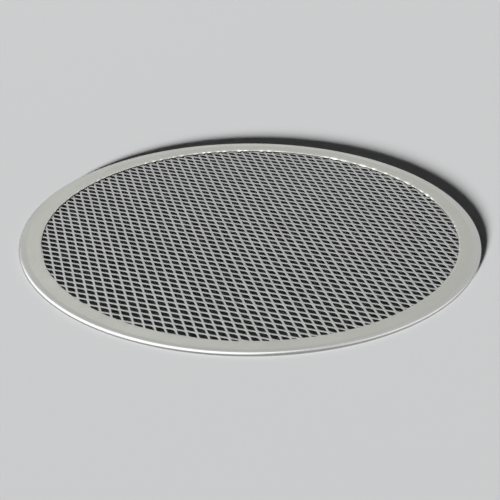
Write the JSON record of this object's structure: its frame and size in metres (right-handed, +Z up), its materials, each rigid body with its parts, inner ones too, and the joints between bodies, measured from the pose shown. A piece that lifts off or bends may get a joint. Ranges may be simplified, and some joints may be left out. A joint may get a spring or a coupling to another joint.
{
  "type": "pizza screen",
  "caption": "Flat round aluminium pizza screen: an open diamond mesh disc gripped all round by a folded sheet rim with a rolled outer bead.",
  "frame": {"origin": "on the screen's axis, in the plane that the rim's underside rests on", "axes": "+Z up, square to the mesh and towards the side the pizza lies on; X and Y lie in the mesh, with the steeper strands leaning 13 degrees from +Y towards -X"},
  "size_m": [0.3048, 0.3048, 0.003],
  "materials": {
    "rim_aluminium": "satin, spun and pressed, slightly warm grey",
    "mesh_aluminium": "satin expanded metal with duller, darker sheared sides"
  },
  "bodies": {
    "root": {"rim": "rim_aluminium", "mesh": "mesh_aluminium"}
  },
  "joints": []
}
